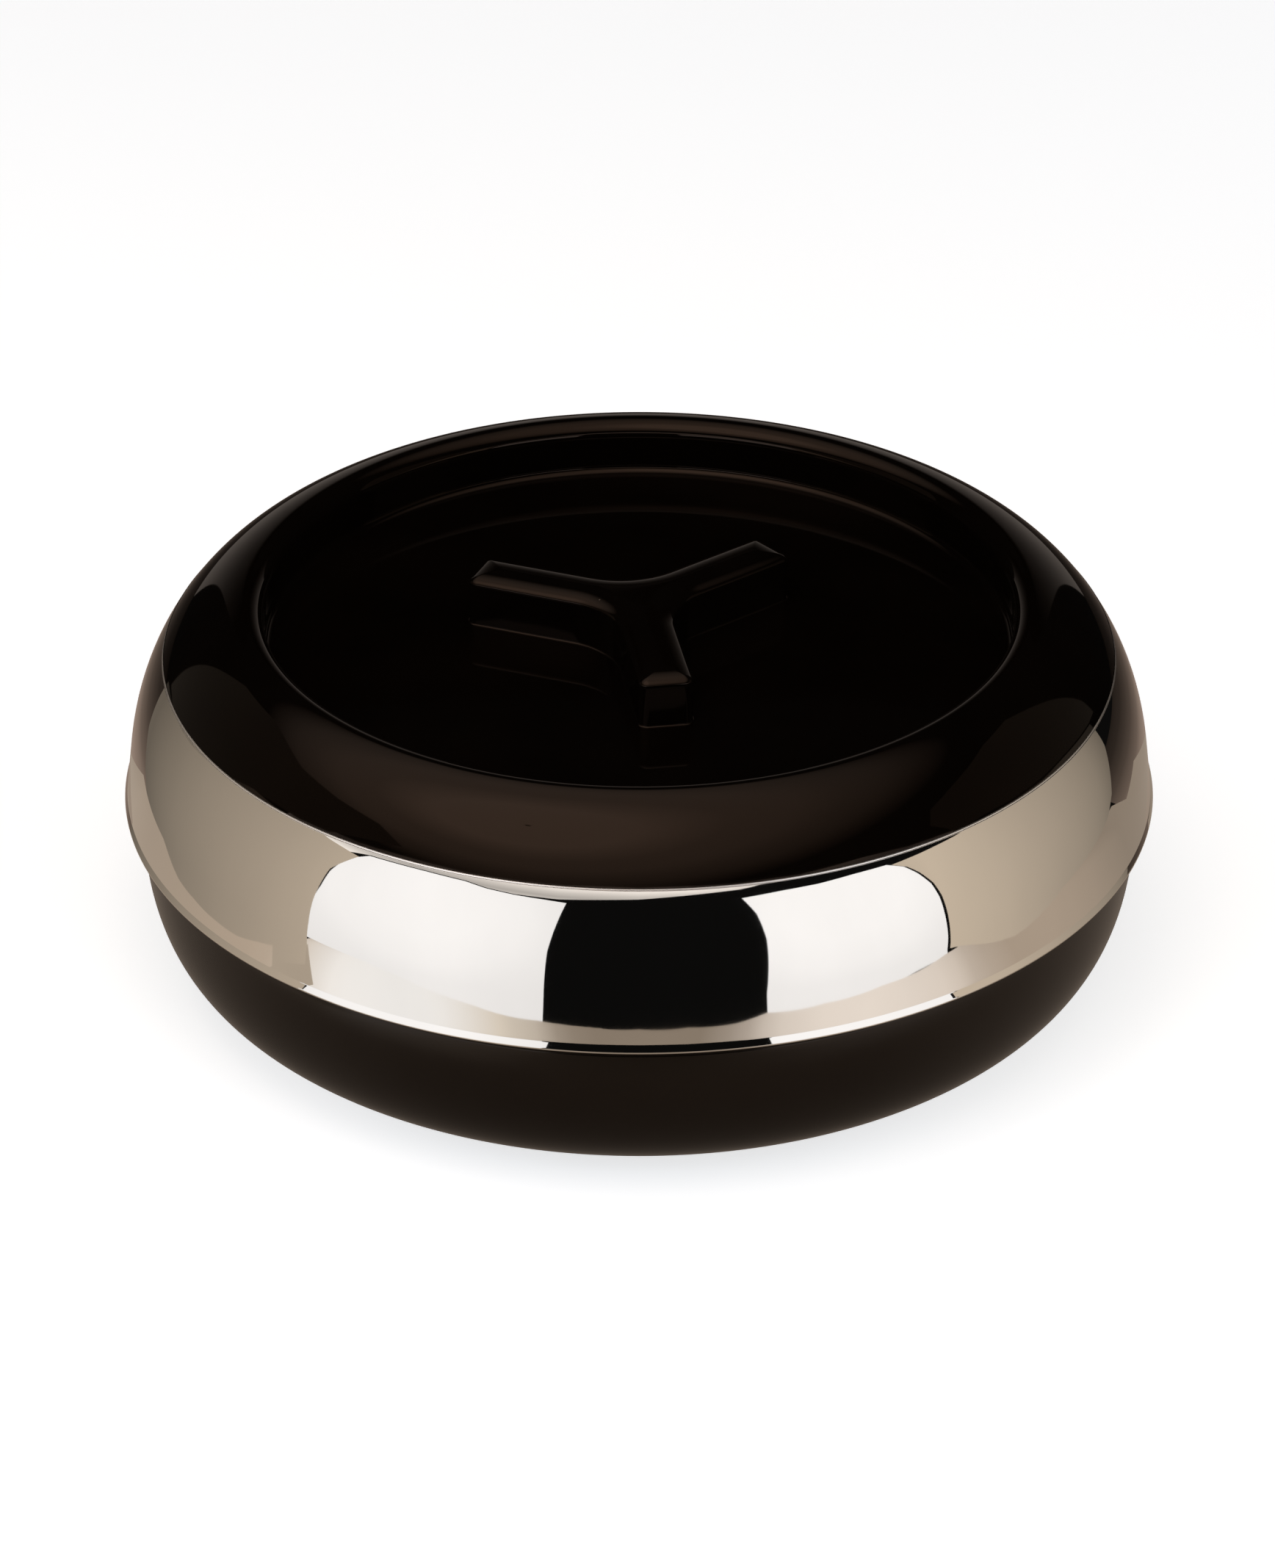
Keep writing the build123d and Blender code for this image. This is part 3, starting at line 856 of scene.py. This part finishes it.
@dataclass
class BaseShell:
    """The satin black bowl, with a shoulder below the lid and a neck inside it."""

    finishes: Finishes
    base_radius: float = 130.80
    neck_radius: float = 129.60
    wall: float = 2.6
    shoulder_height: float = 46.0
    shoulder_rounding: float = 1.0
    mouth_height: float = 56.0
    foot_radius: float = 86.2
    foot_inner_radius: float = 60.0
    stand_off: float = 0.8
    recess_depth: float = 3.2
    lower_sweep: float = 33.0
    upper_sweep: float = 34.8
    inner_drop: float = 1.2
    hole_radius: float = 6.0
    facets: int = 256

    def outline(self) -> list[Point]:
        """The section, from the hole in its floor out along the underside, up, and back inside."""
        wall, low, shoulder, easing = self.wall, self.stand_off, self.shoulder_height, self.shoulder_rounding
        recess = low + self.recess_depth
        recess_edge = self.foot_inner_radius - self.recess_depth
        edge = shoulder - easing
        sweep = self.foot_radius + self.lower_sweep
        bend = shoulder - self.upper_sweep
        inside = self.base_radius - wall
        inner_top = shoulder - wall
        foot, top = (self.foot_radius, low), (self.base_radius, edge)
        outer = bezier(foot, (sweep, low), (self.base_radius, bend), top, 64)
        foot, top = (self.foot_radius, low + wall), (inside, inner_top - self.inner_drop)
        inner = bezier(top, (inside, bend + wall), (sweep - wall, low + wall), foot, 40)
        neck_inner = self.neck_radius - wall
        return [
            (self.hole_radius, recess), (recess_edge, recess), (self.foot_inner_radius, low), *outer,
            *arc((self.base_radius - easing, edge), easing, 0, 90, 6)[1:],
            (self.neck_radius, shoulder), (self.neck_radius, self.mouth_height),
            (neck_inner, self.mouth_height), (neck_inner, inner_top), *inner,
            (self.foot_inner_radius, low + wall), (recess_edge, recess + wall),
            (self.hole_radius, recess + wall),
        ]

    def build(self) -> Piece:
        """Model the bowl and let it stand for its node.

        Returns:
            The piece.
        """
        piece = turned("base_moulding", self.outline(), self.facets)
        self.finishes.dress(piece, FinishOf.satin_black_plastic)
        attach(piece, "base")
        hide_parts("base_shell")
        return piece


# The studio


@dataclass(frozen=True)
class Pool:
    """A glow that changes with the distance from a place."""

    colour: Colour
    steps: Line
    centre: Place = (0.0, 0.0, 0.0)
    along: Place = (1.0, 1.0, 1.0)

    def glow(self, nodes: Nodes) -> Socket:
        """Add the nodes of the glow.

        Args:
            nodes: The card's node tree.

        Returns:
            The emission.
        """
        peak = max(strength for _, strength in self.steps)
        reach = max(self.steps[-1][0], 1.0) * MM
        offset = nodes.vector("SUBTRACT", nodes.where(), tuple(part * MM for part in self.centre))
        counted = nodes.vector("MULTIPLY", offset, tuple(part / reach for part in self.along))
        stops = [(distance * MM / reach, (strength / peak,) * 3) for distance, strength in self.steps]
        strength = nodes.math("MULTIPLY", nodes.ramp(nodes.vector("LENGTH", counted), stops), peak)
        return nodes.out("Emission", "Emission", {"Color": self.colour, "Strength": strength})


def even(colour: Colour, strength: float) -> Pool:
    """A glow that is the same all over."""
    return Pool(colour, ((0, strength), (1, strength)))


@dataclass(frozen=True)
class Card:
    """A glowing card of the studio, between a lower and an upper line."""

    name: str
    lower: Places
    upper: Places
    pools: tuple[Pool, ...]
    mirrored_only: bool = False

    def build(self) -> Piece:
        """Model the card, which the camera doesn't see.

        Returns:
            The card.
        """
        piece = drawn(self.name, self.lower)
        other = drawn(self.name + "_upper", self.upper)
        bridge(piece, other)
        piece.data.materials.append(self.glow())
        piece.visible_camera = False
        piece.visible_diffuse = not self.mirrored_only
        piece.visible_shadow = not self.mirrored_only
        log.info("stage: %s", self.name)
        return piece

    def glow(self) -> bpy.types.Material:
        """The card's glow: the sum of its pools."""
        material, nodes = blank(self.name)
        total = self.pools[0].glow(nodes)
        for pool in self.pools[1:]:
            total = nodes.out("AddShader", "Shader", {0: total, 1: pool.glow(nodes)})
        nodes.show(total)
        return material


def round_wall(columns: Places) -> Places:
    """Places from their angles from the front rightwards, distances and heights."""
    turns = [(radians(turn), reach, high) for turn, reach, high in columns]
    return tuple((reach * sin(turn), -reach * cos(turn), high) for turn, reach, high in turns)


def ring(first: float, last: float, steps: int, reach: float, high: float) -> Places:
    """Evenly spaced places round the axis, from one angle to another."""
    return round_wall(tuple((turn, reach, high) for turn in evenly(first, last, steps)))


def level(places: Line, high: float) -> Places:
    """Places at one height, from how far right and back they are."""
    return tuple((across, back, high) for across, back in places)


def side_wall(across: float, corners: Line) -> Places:
    """Places on an upright plane at one side, from how far back and how high they are."""
    return tuple((across, back, high) for back, high in corners)


WHITE = (0.975, 0.99, 1.03)
GREIGE = (1.0, 0.86, 0.7)
BROWN = (1.0, 0.76, 0.62)
BEIGE = (1.0, 0.83, 0.67)
# The table's glow, seen only in mirrors: an even pale tone plus painted pools of light near the side panels
# and below the white cards, a bluish one under the left card.
TABLE = (
    even(BEIGE, 0.35),
    Pool(
        BEIGE,
        ((0, 0.29), (27, 0.25), (55, 0.22), (81, 0.18), (137, 0.13), (171, 0.12), (199, 0.06), (230, 0)),
        (-240, -90, 0),
    ),
    Pool(BEIGE, ((0, 0.21), (24, 0.2), (44, 0.18), (72, 0.12), (97, 0.05), (121, 0)), (240, -80, 0)),
    Pool(
        (1.0, 0.97, 0.9),
        ((0, 0.62), (48, 0.62), (73, 0.6), (84, 0.5), (102, 0.38), (119, 0.12), (132, 0.04), (150, 0)),
        (-168, -222, 0),
    ),
    Pool(
        (0.33, 0.62, 1.0),
        ((0, 0.4), (36, 0.38), (50, 0.34), (60, 0.28), (72, 0.2), (97, 0)),
        (-185, -205, 0),
    ),
    Pool(
        (1.0, 0.965, 0.95),
        ((0, 0.79), (35, 0.75), (70, 0.6), (85, 0.45), (97, 0.25), (112, 0.12), (135, 0)),
        (168, -222, 0),
    ),
)


@dataclass
class Studio:
    """A light tent on a round table: white cards in front, beige sides and a soft light above."""

    left: float = -225.0
    right: float = 240.0
    top: float = 600.0
    foot: float = -0.5
    shade_level: float = -0.05
    beige_fold_level: float = -0.08
    table_side_level: float = -0.1
    white_fold_level: float = -0.12
    table_level: float = -0.15
    ground_level: float = -0.3
    floor_level: float = -0.4
    floor_width: float = 12.0
    floor_colour: Colour = (0.85, 0.9, 0.96)
    floor_glow: float = 0.68
    fill: float = 0.45
    mirrored_dark: float = 0.006
    light_centre: Point = (-170, -200)
    light_reach: Point = (5, 700)
    ground_reach: Point = (120, 880)
    shade_reach: Point = (40, 185)
    wall_reach: float = 885
    table_front: float = -196
    table_back: float = 98
    table_slant: float = 20
    fold_front: float = -146
    fold_back: float = -109.5
    card_line: Line = (
        (-75, 300), (-16, 300), (18, 301.8), (21, 301.8), (31.7, 295.9), (41.4, 291.4), (53.6, 287), (70, 287),
    )

    def bent(self, columns: Line) -> Places:
        """Places on the bent line that the white cards stand on.

        Args:
            columns: For each place, its angle from the front towards the right and its height.

        Returns:
            The places.
        """
        places = []
        for turn, high in columns:
            for (before, near), (after, far) in zip(self.card_line, self.card_line[1:]):
                if turn <= after:
                    break
            places.append((turn, near + (far - near) * (turn - before) / (after - before), high))
        return round_wall(tuple(places))

    def standing(self, *turns: float) -> Line:
        """Columns of cards at the height of their foot."""
        return tuple((turn, self.foot) for turn in turns)

    def white_cards(self) -> list[Card]:
        """The two bent white cards at the front and the strip of light above them."""
        left_upper = (
            (-60.4, 0.5), (-59.8, 22), (-58.5, 58.7), (-57.4, 84), (-56.7, 113), (-55.7, 133), (-54, 155),
            (-51.7, 171), (-40.3, 183), (-32.5, 185.5), (-28.1, 179.6), (-22.7, 176.8), (-17, 175.5),
            (-13, 173),
        )
        at_foot = self.standing(*(turn for turn, _ in left_upper[:11]), -15.7)
        left_lower = (*at_foot, (-15.1, 79.8), (-14.4, 112.3))
        right_upper = (
            (18.6, 177.5), (26.5, 178.4), (33.1, 174), (40, 171.8), (46.4, 165.9), (49, 149.6), (50.6, 128.4),
            (52.1, 103), (52.8, 79.7), (53.3, 51), (53.9, 20), (54.1, 0.5),
        )
        at_foot = self.standing(21.1, 30, 40, 48, 50, 52, 53, 54.1)
        right_lower = ((20.4, 140), (20.9, 116), (21.3, 92.4), (21.3, 65), *at_foot)
        strip = (
            (-72, 120, 176), (-62, 145, 184), (-56, 160, 190), (-51.7, 173, 196), (-40.3, 185, 208),
            (-32.5, 187.5, 213), (-28.1, 181.6, 217), (-22.7, 178.7, 220), (-14.6, 180, 224), (0, 190.3, 228),
            (10.8, 198.5, 227), (18.9, 200.3, 223), (30.8, 206, 212), (38, 198, 207), (44.1, 183, 202),
            (53, 176, 186), (65, 160, 168),
        )
        strip_lower = tuple((turn, low) for turn, low, _ in strip)
        strip_upper = tuple((turn, high) for turn, _, high in strip)
        white = ((0, 1.43), (60, 1.42), (100, 1.36), (130, 1.27), (170, 1.2))
        left = Pool(WHITE, white, (-185, -236, 128))
        right = Pool(WHITE, white, (171, -236, 128))
        above = Pool((1.0, 0.96, 0.93), ((0, 0.62), (12, 0.9), (30, 1.5), (45, 1.6)), (0, 0, 186), (0, 0, 1))
        cards = (
            ("white_card_left", left_lower, left_upper, left),
            ("white_card_right", right_lower, right_upper, right),
            ("strip_light", strip_lower, strip_upper, above),
        )
        return [Card(name, self.bent(lower), self.bent(upper), (pool,)) for name, lower, upper, pool in cards]

    def folds(self) -> list[Card]:
        """The white and the beige fold that lie on the table at the left."""
        white, beige = self.white_fold_level, self.beige_fold_level
        near, far = (
            ((across, self.fold_front, white), *ring(turn, -6, 16, reach, white))
            for across, turn, reach in ((-190, -50, 180), (-248, -59, 299.6))
        )
        ends = (self.fold_front, self.fold_back)
        start, end = (level(tuple((across, back) for back in ends), beige) for across in (-150, -240))
        return [
            Card("white_fold_left", near, far, TABLE, True),
            Card("beige_fold_left", start, end, (even(GREIGE, 0.56),), True),
        ]

    def sides(self) -> list[Card]:
        """The beige side panels, and their dimmer parts higher up."""
        left_upper = (
            (-141, 8), (-144.5, 30), (-148, 61), (-151, 83), (-154, 108), (-157, 124), (-172, 153),
            (-150, 151), (-129, 149), (-100, 141), (-55, 130), (-26, 114), (12, 98), (60, 86), (106, 76),
        )
        left_lower = (
            *self.standing(-141, -136, -131, -126, -120, -112), (-110, 4), (-95, 3.6), (-75, 2.4), (-52, 2.2),
            (-25, 1.5), *self.standing(5, 40, 80), (106, 30),
        )
        high_left_lower = (
            (-129, 160), (-100, 146), (-55, 130), (-26, 110), (12, 96), (40, 88), (70, 84), (96, 82),
        )
        high_left_upper = (
            (-200, 225), (-150, 240), (-95, 225), (-40, 220), (20, 240), (60, 250), (110, 230), (100, 110),
        )
        right_upper = (
            (-168.5, 8), (-169.5, 18), (-172.5, 50), (-175.5, 80), (-180, 105), (-189, 133.5), (-198.5, 157),
            (-213, 176), (-177, 165), (-128, 152), (-98, 148), (-66, 136), (-33, 124), (0, 116), (46, 102),
        )
        right_lower = (
            *self.standing(-168, -160, -150, -140, -125, -110), (-98, 0), (-85, 1), (-68, 2.5), (-50, 4),
            (-25, 10), (5, 16), (24, 21), (35, 32), (46, 70),
        )
        high_right_lower = ((-128, 160), (-98, 152), (-66, 138), (-33, 126), (0, 118), (46, 104), (62, 102))
        high_right_upper = ((-140, 200), (-118, 230), (-80, 240), (-30, 250), (20, 265), (70, 262), (66, 125))
        left_steps = ((0, 0.68), (35, 0.6), (235, 0.21), (260, 0.17))
        right_steps = ((0, 0.8), (40, 0.73), (150, 0.46), (190, 0.34), (220, 0.2))
        left = Pool(GREIGE, left_steps, (0, -170, 0), (0, 1, 0))
        right = Pool(GREIGE, right_steps, (0, -175, 0), (0, 1, 0))
        dim = even(GREIGE, 0.11)
        panels = (
            ("side_panel_left", self.left, left_lower, left_upper, left),
            ("side_panel_right", self.right, right_lower, right_upper, right),
            ("high_panel_left", self.left, high_left_lower, high_left_upper, dim),
            ("high_panel_right", self.right, high_right_lower, high_right_upper, dim),
        )
        return [
            Card(name, side_wall(across, lower), side_wall(across, upper), (pool,))
            for name, across, lower, upper, pool in panels
        ]

    def soft_light(self) -> Card:
        """The round soft light above, left of the middle and to the front."""
        centre = self.light_centre
        inner, edge = (level(arc(centre, reach, 0, 360, 48), self.top) for reach in self.light_reach)
        steps = (
            (0, 1.5), (170, 1.46), (240, 1.1), (300, 0.84), (400, 0.74), (480, 0.52), (550, 0.38), (620, 0.18),
            (700, 0),
        )
        return Card("soft_light", inner, edge, (Pool((1.0, 0.84, 0.72), steps, (*centre, self.top)),))

    def behind(self) -> list[Card]:
        """The dim ground and the dim wall behind the casserole."""
        ground_steps = (
            (0, 0.32), (205, 0.32), (240, 0.25), (265, 0.17), (290, 0.14), (335, 0.09), (405, 0.06),
            (530, 0.035), (900, 0.02),
        )
        wall_steps = ((0, 0.27), (110, 0.24), (220, 0.16), (330, 0.08), (430, 0.03), (520, 0))
        wall = Pool((1.0, 0.86, 0.76), wall_steps, along=(0, 0, 1))
        near, far = (ring(105, 255, 24, reach, self.ground_level) for reach in self.ground_reach)
        low, high = (ring(150, 210, 10, self.wall_reach, height) for height in (0, self.top))
        return [
            Card("ground_behind", near, far, (Pool(BROWN, ground_steps),), True),
            Card("wall_behind", low, high, (wall,)),
        ]

    def table(self) -> list[Card]:
        """The pale table that the lower parts mirror; its glow carries painted pools of light."""
        rims = (
            (-49, 299), (-16, 299.5), (-8, 299.8), (0, 299.8), (8, 299.6), (16, 298), (21, 301.8),
            (31.7, 295.9), (41.4, 291.4), (53.6, 287), (56.7, 287),
        )
        high = self.table_level
        front = round_wall(tuple((turn, reach, high) for turn, reach in rims))
        width = self.right - self.left
        back = tuple(
            (across, self.table_back + self.table_slant * (across - self.left) / width, high)
            for across, _, _ in front
        )
        left = ((-236, -109.5), (-236, -95), (-232, -75), (-231, -50), (-229, -25), (-225, 5))
        right = ((250, -112), (252, -88), (262, -50), (300, -10), (310, 30), (300, 75))
        near = ((self.left, self.table_front, high), *front)
        far = ((self.left, self.table_back, high), *back)
        cards = [Card("table_top", near, far, TABLE, True)]
        for name, inner, edge in (("table_left", -200, left), ("table_right", 200, right)):
            start = level(tuple((inner, back) for _, back in edge), self.table_side_level)
            cards.append(Card(name, start, level(edge, self.table_side_level), TABLE, True))
        return cards

    def shade(self) -> Card:
        """The casserole's painted shadow on the table: a dimmer glow close to it, seen only in mirrors."""
        steps = ((0, 0.16), (90, 0.16), (120, 0.22), (150, 0.29), (185, 0.37))
        near, far = (ring(0, 360, 64, reach, self.shade_level) for reach in self.shade_reach)
        return Card("table_shade", near, far, (Pool((1.0, 0.80, 0.64), steps),), True)

    def floor(self) -> None:
        """The plain pale floor, which shows white and keeps the casserole's shadow."""
        clear_selection()
        bpy.ops.mesh.primitive_plane_add(size=self.floor_width, location=(0, 0, 0))
        floor = bpy.context.object
        floor.name = "floor"
        bpy.ops.transform.translate(value=(0, 0, self.floor_level * MM))
        bpy.ops.object.transform_apply(location=True, rotation=True, scale=True)
        floor.visible_glossy = False
        material, nodes = blank("floor")
        matt = nodes.out("BsdfDiffuse", "BSDF", {"Color": self.floor_colour})
        seen = nodes.math("MULTIPLY", nodes.out("LightPath", "Is Camera Ray"), self.floor_glow)
        glow = nodes.out("Emission", "Emission", {"Strength": seen})
        nodes.show(nodes.out("AddShader", "Shader", {0: matt, 1: glow}))
        floor.data.materials.append(material)

    def world(self) -> None:
        """A white surround for the camera, a soft fill for matt surfaces and darkness for mirrors."""
        world = bpy.data.worlds.new("studio")
        bpy.context.scene.world = world
        world.use_nodes = True
        nodes = Nodes(world.node_tree)
        path = nodes.add("LightPath").outputs
        fill = nodes.math("MULTIPLY_ADD", path["Is Diffuse Ray"], self.fill, self.mirrored_dark)
        total = nodes.math("ADD", fill, path["Is Camera Ray"])
        nodes.show(nodes.out("Background", "Background", {"Strength": total}), "OutputWorld")

    def build(self) -> None:
        """Set up the floor, the table, the cards and the surround."""
        self.floor()
        lights = (*self.white_cards(), *self.folds(), *self.sides(), self.soft_light())
        for card in (*lights, *self.behind(), *self.table(), self.shade()):
            card.build()
        self.world()


@dataclass
class Camera:
    """The camera, in front of the casserole and a little above it."""

    distance: float = 1580.0
    elevation: float = 29.93
    aim_height: float = 48.65
    focal_pixels: float = 8163.83
    long_side: float = 2135.0
    sensor: float = 36.0
    aside: Point = (-2.06, -6.99)

    def build(self) -> None:
        """Place the camera and make it the scene's own."""
        camera = bpy.data.cameras.new("camera")
        camera.sensor_width = self.sensor
        camera.lens = self.focal_pixels * self.sensor / self.long_side
        camera.shift_x = self.aside[0] / self.long_side
        camera.shift_y = self.aside[1] / self.long_side
        view = bpy.data.objects.new("camera", camera)
        bpy.context.scene.collection.objects.link(view)
        lean = radians(self.elevation)
        aim = Vector((0, 0, self.aim_height)) * MM
        back = Vector((0, -cos(lean), sin(lean)))
        view.location = aim + back * self.distance * MM
        view.rotation_euler = (-back).to_track_quat("-Z", "Y").to_euler()
        bpy.context.scene.camera = view


# The whole casserole

NODES_OF = {
    FinishOf.satin_black_plastic: ("base_rim_ring", "base_fill_plug", "lid_closing_ring", "lid_fill_plug"),
    FinishOf.satin_steel: ("inner_bowl", "lid_liner_pan"),
    FinishOf.fastener_steel: ("handle_screws", "handle_washers"),
    FinishOf.pad_rubber: ("foot_pad_1", "foot_pad_2", "foot_pad_3", "foot_pad_4"),
    FinishOf.seal_silicone: ("lid_seal",),
    FinishOf.insulation_foam: ("base_foam", "lid_foam"),
}


def main() -> None:
    """Dress the casserole and set up its studio."""
    logging.basicConfig(level=logging.INFO, format="%(name)s: %(message)s")
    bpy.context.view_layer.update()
    finishes = Finishes({})
    for finish, names in NODES_OF.items():
        for name in names:
            finishes.dress(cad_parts[name], finish)
    for part in (LidShell(finishes), SteelBand(finishes), Handle(finishes), BaseShell(finishes)):
        piece = part.build()
        log.info("built %s with %d faces", piece.name, len(piece.data.polygons))
    Studio().build()
    Camera().build()
    clear_selection()
    bpy.context.scene.view_settings.view_transform = "Standard"


if __name__ == "__main__":
    main()
